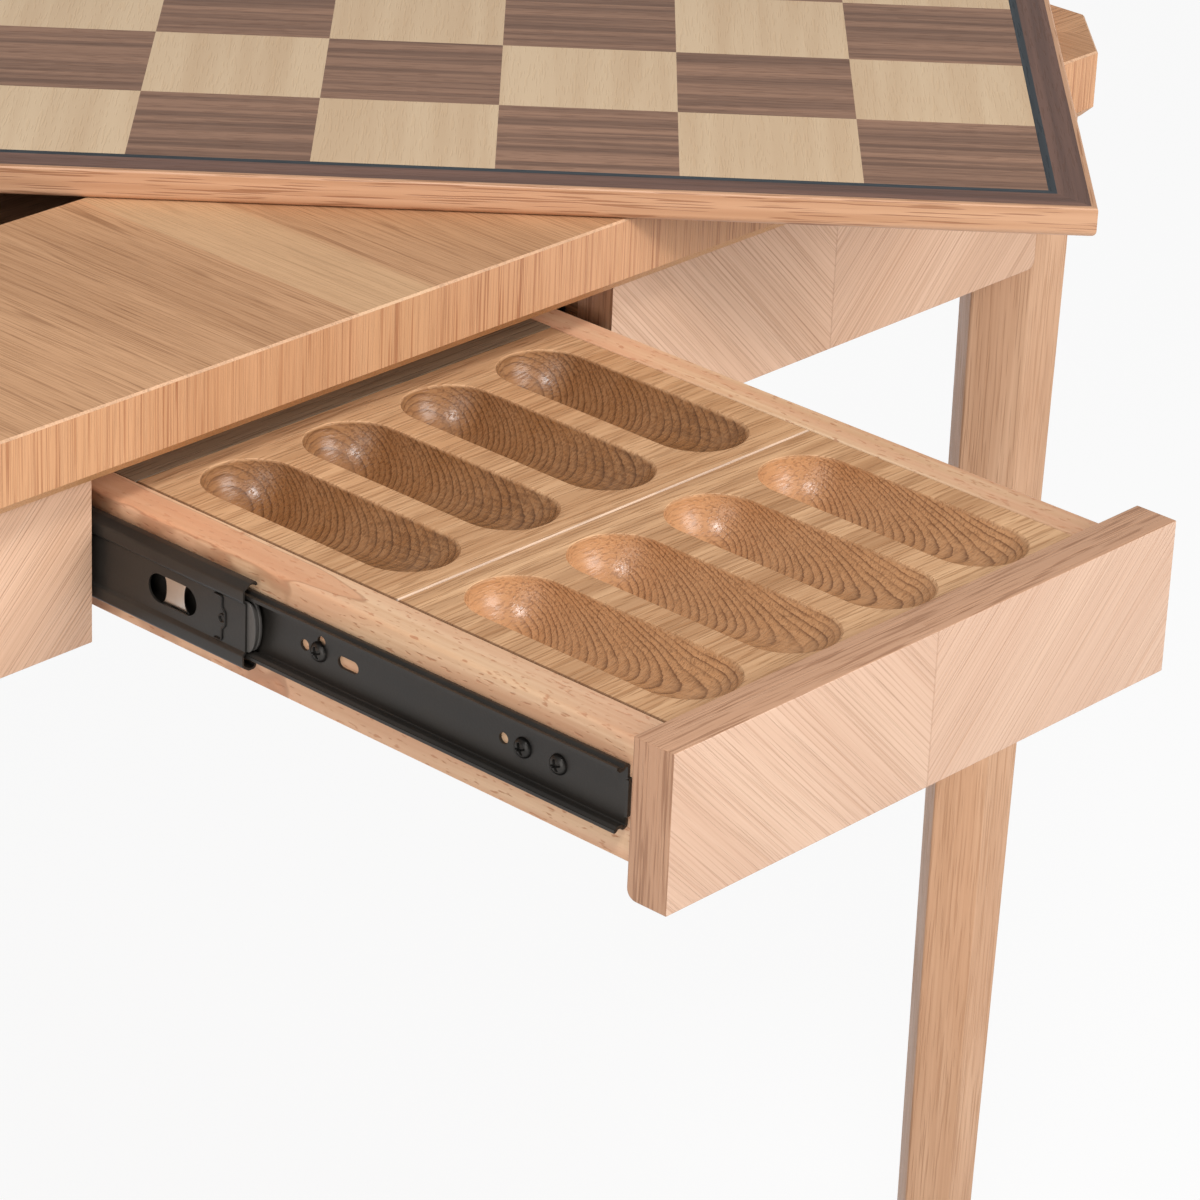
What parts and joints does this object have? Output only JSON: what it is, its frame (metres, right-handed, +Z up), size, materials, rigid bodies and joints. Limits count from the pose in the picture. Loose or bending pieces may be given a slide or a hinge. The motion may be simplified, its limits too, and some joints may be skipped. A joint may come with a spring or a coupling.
{
  "type": "chess table",
  "caption": "Square oak game table with clipped corners, tapered legs, a recessed top with a lift-out inlaid chess board, and drawers on slides with scooped trays for the pieces.",
  "frame": {"origin": "middle of the table on the floor", "axes": "+Z up, -Y towards the open front drawer, +X to the right of a player who sits at it"},
  "size_m": [1.1352, 1.1607, 0.7622],
  "materials": {
    "oak_veneer_top": "satin oak veneer, grain square to each edge",
    "oak_veneer_chevron": "satin oak veneer, chevron matched",
    "oak_leg": "satin solid oak",
    "oak_tray": "satin solid oak, routed",
    "oak_drawer": "satin solid oak",
    "oak_lipping": "satin solid oak",
    "plywood": "plain plywood",
    "walnut_recess": "dark walnut veneer",
    "walnut": "satin walnut veneer",
    "maple": "satin maple veneer",
    "slate_stringing": "dyed blue-grey stringing",
    "board_core": "plain fibreboard",
    "frame_wood": "plain sawn wood",
    "black_steel": "black coated steel",
    "black_screw": "black oxide screw",
    "ball_steel": "bright steel",
    "plated_steel": "zinc plated steel",
    "black_plastic": "moulded plastic"
  },
  "bodies": {
    "table": {"apron_back_left": "oak_veneer_chevron", "apron_back_right": "oak_veneer_chevron", "apron_front_left": "oak_veneer_chevron", "apron_front_right": "oak_veneer_chevron", "apron_left": "oak_veneer_chevron", "apron_right": "oak_veneer_chevron", "back_cabinet_rails": "black_steel", "board_ledges": "walnut_recess", "bolt_nuts_and_washers": "plated_steel", "cabinet_rail_screws": "plated_steel", "corner_blocks": "frame_wood", "foot_glides": "black_plastic", "front_cabinet_rails": "black_steel", "glue_blocks": "frame_wood", "hanger_bolts": "plated_steel", "leg_back_left": "oak_leg", "leg_back_right": "oak_leg", "leg_front_left": "oak_leg", "leg_front_right": "oak_leg", "recess_floor": "walnut_recess", "recess_floor_screws": "plated_steel", "runner_left": "frame_wood", "runner_right": "frame_wood", "top_back": "oak_veneer_top", "top_front": "oak_veneer_top", "top_left": "oak_veneer_top", "top_right": "oak_veneer_top"},
    "front_drawer": {"front_drawer_back": "oak_drawer", "front_drawer_bottom": "plywood", "front_drawer_front": "oak_veneer_chevron", "front_drawer_rail_screws": "black_screw", "front_drawer_rails": "black_steel", "front_drawer_side_left": "oak_drawer", "front_drawer_side_right": "oak_drawer", "front_drawer_tray_fore": "oak_tray", "front_drawer_tray_rear": "oak_tray"},
    "front_middle_slides": {"front_middle_rails": "black_steel", "front_slide_stops": "black_plastic"},
    "front_outer_cages": {"front_outer_ball_cages": "ball_steel"},
    "front_inner_cages": {"front_inner_ball_cages": "ball_steel"},
    "back_drawer": {"back_drawer_back": "oak_drawer", "back_drawer_bottom": "plywood", "back_drawer_front": "oak_veneer_chevron", "back_drawer_rail_screws": "black_screw", "back_drawer_rails": "black_steel", "back_drawer_side_left": "oak_drawer", "back_drawer_side_right": "oak_drawer", "back_drawer_tray_fore": "oak_tray", "back_drawer_tray_rear": "oak_tray"},
    "back_middle_slides": {"back_middle_rails": "black_steel", "back_slide_stops": "black_plastic"},
    "back_outer_cages": {"back_outer_ball_cages": "ball_steel"},
    "back_inner_cages": {"back_inner_ball_cages": "ball_steel"},
    "board": {"board_core": "board_core", "board_lipping": "oak_lipping", "board_border": "walnut", "board_stringing": "slate_stringing", "dark_squares": "walnut", "light_squares": "maple"}
  },
  "joints": [
    {"name": "front_drawer_slide", "type": "slide", "parent": "table", "child": "front_drawer", "axis": [0, -1, 0], "range_m": [-0.2723, 0.0117]},
    {"name": "front_middle_slides_slide", "type": "slide", "parent": "table", "child": "front_middle_slides", "axis": [0, -1, 0], "range_m": [-0.0988, 0.0044]},
    {"name": "front_outer_cages_slide", "type": "slide", "parent": "table", "child": "front_outer_cages", "axis": [0, -1, 0], "range_m": [-0.0495, 0.0023]},
    {"name": "front_inner_cages_slide", "type": "slide", "parent": "table", "child": "front_inner_cages", "axis": [0, -1, 0], "range_m": [-0.1856, 0.0082]},
    {"name": "back_drawer_slide", "type": "slide", "parent": "table", "child": "back_drawer", "axis": [0, 1, 0], "range_m": [0, 0.284]},
    {"name": "back_middle_slides_slide", "type": "slide", "parent": "table", "child": "back_middle_slides", "axis": [0, 1, 0], "range_m": [0, 0.103]},
    {"name": "back_outer_cages_slide", "type": "slide", "parent": "table", "child": "back_outer_cages", "axis": [0, 1, 0], "range_m": [0, 0.0516]},
    {"name": "back_inner_cages_slide", "type": "slide", "parent": "table", "child": "back_inner_cages", "axis": [0, 1, 0], "range_m": [0, 0.1936]},
    {"name": "board_lift", "type": "slide", "parent": "table", "child": "board", "axis": [0, 0, 1], "range_m": [0, 0.25]}
  ],
  "couplings": [
    {"joint": "front_middle_slides_slide", "follows": "front_drawer_slide", "ratio": 0.362},
    {"joint": "front_outer_cages_slide", "follows": "front_drawer_slide", "ratio": 0.181},
    {"joint": "front_inner_cages_slide", "follows": "front_drawer_slide", "ratio": 0.681},
    {"joint": "back_middle_slides_slide", "follows": "back_drawer_slide", "ratio": 0.362},
    {"joint": "back_outer_cages_slide", "follows": "back_drawer_slide", "ratio": 0.181},
    {"joint": "back_inner_cages_slide", "follows": "back_drawer_slide", "ratio": 0.681}
  ]
}
